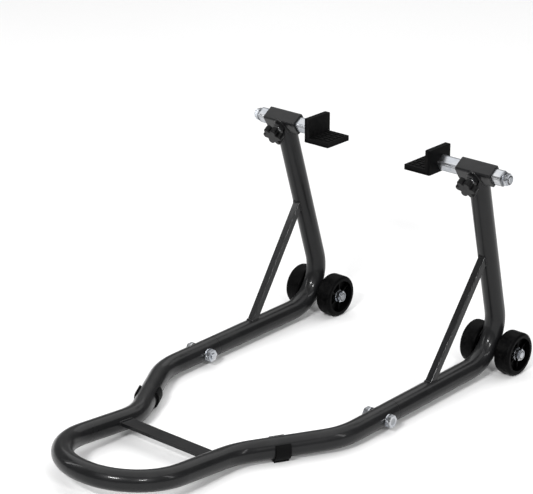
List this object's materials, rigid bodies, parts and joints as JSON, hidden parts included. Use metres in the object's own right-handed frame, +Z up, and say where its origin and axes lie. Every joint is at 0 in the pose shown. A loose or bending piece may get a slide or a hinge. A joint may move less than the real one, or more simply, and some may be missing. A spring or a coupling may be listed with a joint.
{
  "type": "motorcycle rear paddock stand",
  "caption": "Motorcycle rear paddock stand: a braced tube frame on small wheels, with a handle loop and upright arms holding clamped slide bars with rubber-faced swingarm pads.",
  "frame": {"origin": "on the floor, at the bottom centre of the stand's box", "axes": "+Z up, +X to the rider's right-hand side, +Y from the handle loop towards the lifting end with the wheels"},
  "size_m": [0.4966, 0.7796, 0.374],
  "materials": {
    "frame_paint": "satin",
    "pad_plate_paint": "satin",
    "slide_steel": "bright zinc",
    "plug_steel": "satin",
    "bush_steel": "satin",
    "zinc_fasteners": "bright zinc",
    "wheel_plastic": "matte",
    "knob_plastic": "satin",
    "foot_rubber": "matte",
    "pad_rubber": "matte"
  },
  "bodies": {
    "frame": {"base_tube": "frame_paint", "crossbar": "frame_paint", "left_arm": "frame_paint", "left_brace": "frame_paint", "left_collar": "frame_paint", "left_clamp_nut": "frame_paint", "left_axle_sleeve": "frame_paint", "left_foot": "foot_rubber", "right_arm": "frame_paint", "right_brace": "frame_paint", "right_collar": "frame_paint", "right_clamp_nut": "frame_paint", "right_axle_sleeve": "frame_paint", "right_foot": "foot_rubber", "axle_bolts": "zinc_fasteners", "axle_nuts": "zinc_fasteners", "axle_washers": "zinc_fasteners", "joint_bolts": "zinc_fasteners", "joint_nuts": "zinc_fasteners", "joint_washers": "zinc_fasteners"},
    "left_inner_wheel": {"left_inner_wheel": "wheel_plastic", "left_inner_bush": "bush_steel"},
    "left_outer_wheel": {"left_outer_wheel": "wheel_plastic", "left_outer_bush": "bush_steel"},
    "left_slide": {"left_slide_bar": "slide_steel", "left_bar_plug": "plug_steel"},
    "left_pad": {"left_pad_bracket": "pad_plate_paint", "left_pad_rubber": "pad_rubber", "left_pad_bolt": "zinc_fasteners", "left_pad_washer": "zinc_fasteners", "left_pad_nut": "zinc_fasteners"},
    "left_screw": {"left_clamp_screw": "zinc_fasteners"},
    "left_knob": {"left_knob": "knob_plastic"},
    "right_inner_wheel": {"right_inner_wheel": "wheel_plastic", "right_inner_bush": "bush_steel"},
    "right_outer_wheel": {"right_outer_wheel": "wheel_plastic", "right_outer_bush": "bush_steel"},
    "right_slide": {"right_slide_bar": "slide_steel", "right_bar_plug": "plug_steel"},
    "right_pad": {"right_pad_bracket": "pad_plate_paint", "right_pad_rubber": "pad_rubber", "right_pad_bolt": "zinc_fasteners", "right_pad_washer": "zinc_fasteners", "right_pad_nut": "zinc_fasteners"},
    "right_screw": {"right_clamp_screw": "zinc_fasteners"},
    "right_knob": {"right_knob": "knob_plastic"}
  },
  "joints": [
    {"name": "left_inner_wheel_spin", "type": "hinge", "parent": "frame", "child": "left_inner_wheel", "pos_m": [-0.1462, 0.35525, 0.0345], "axis": [1, 0, 0], "continuous": true},
    {"name": "left_outer_wheel_spin", "type": "hinge", "parent": "frame", "child": "left_outer_wheel", "pos_m": [-0.2118, 0.35525, 0.0345], "axis": [1, 0, 0], "continuous": true},
    {"name": "left_bar_slide", "type": "slide", "parent": "frame", "child": "left_slide", "axis": [1, 0, 0], "range_m": [-0.0355, 0.016]},
    {"name": "left_pad_swivel", "type": "hinge", "parent": "left_slide", "child": "left_pad", "pos_m": [-0.12, 0.27491, 0.349], "axis": [1, 0, 0], "range_deg": [-30, 30]},
    {"name": "left_screw_travel", "type": "slide", "parent": "frame", "child": "left_screw", "axis": [0, -0.8387, -0.5446], "range_m": [0, 0.003]},
    {"name": "left_knob_turn", "type": "hinge", "parent": "left_screw", "child": "left_knob", "pos_m": [-0.18875, 0.24891, 0.33212], "axis": [0, -0.8387, -0.5446], "range_deg": [0, 720]},
    {"name": "right_inner_wheel_spin", "type": "hinge", "parent": "frame", "child": "right_inner_wheel", "pos_m": [0.1462, 0.35525, 0.0345], "axis": [1, 0, 0], "continuous": true},
    {"name": "right_outer_wheel_spin", "type": "hinge", "parent": "frame", "child": "right_outer_wheel", "pos_m": [0.2118, 0.35525, 0.0345], "axis": [1, 0, 0], "continuous": true},
    {"name": "right_bar_slide", "type": "slide", "parent": "frame", "child": "right_slide", "axis": [-1, 0, 0], "range_m": [-0.0355, 0.016]},
    {"name": "right_pad_swivel", "type": "hinge", "parent": "right_slide", "child": "right_pad", "pos_m": [0.12, 0.27491, 0.349], "axis": [1, 0, 0], "range_deg": [-30, 30]},
    {"name": "right_screw_travel", "type": "slide", "parent": "frame", "child": "right_screw", "axis": [0, -0.8387, -0.5446], "range_m": [0, 0.003]},
    {"name": "right_knob_turn", "type": "hinge", "parent": "right_screw", "child": "right_knob", "pos_m": [0.18875, 0.24891, 0.33212], "axis": [0, -0.8387, -0.5446], "range_deg": [0, 720]}
  ],
  "couplings": [
    {"joint": "left_knob_turn", "follows": "left_screw_travel", "rad_per_m": 4188.8},
    {"joint": "right_knob_turn", "follows": "right_screw_travel", "rad_per_m": 4188.8}
  ]
}
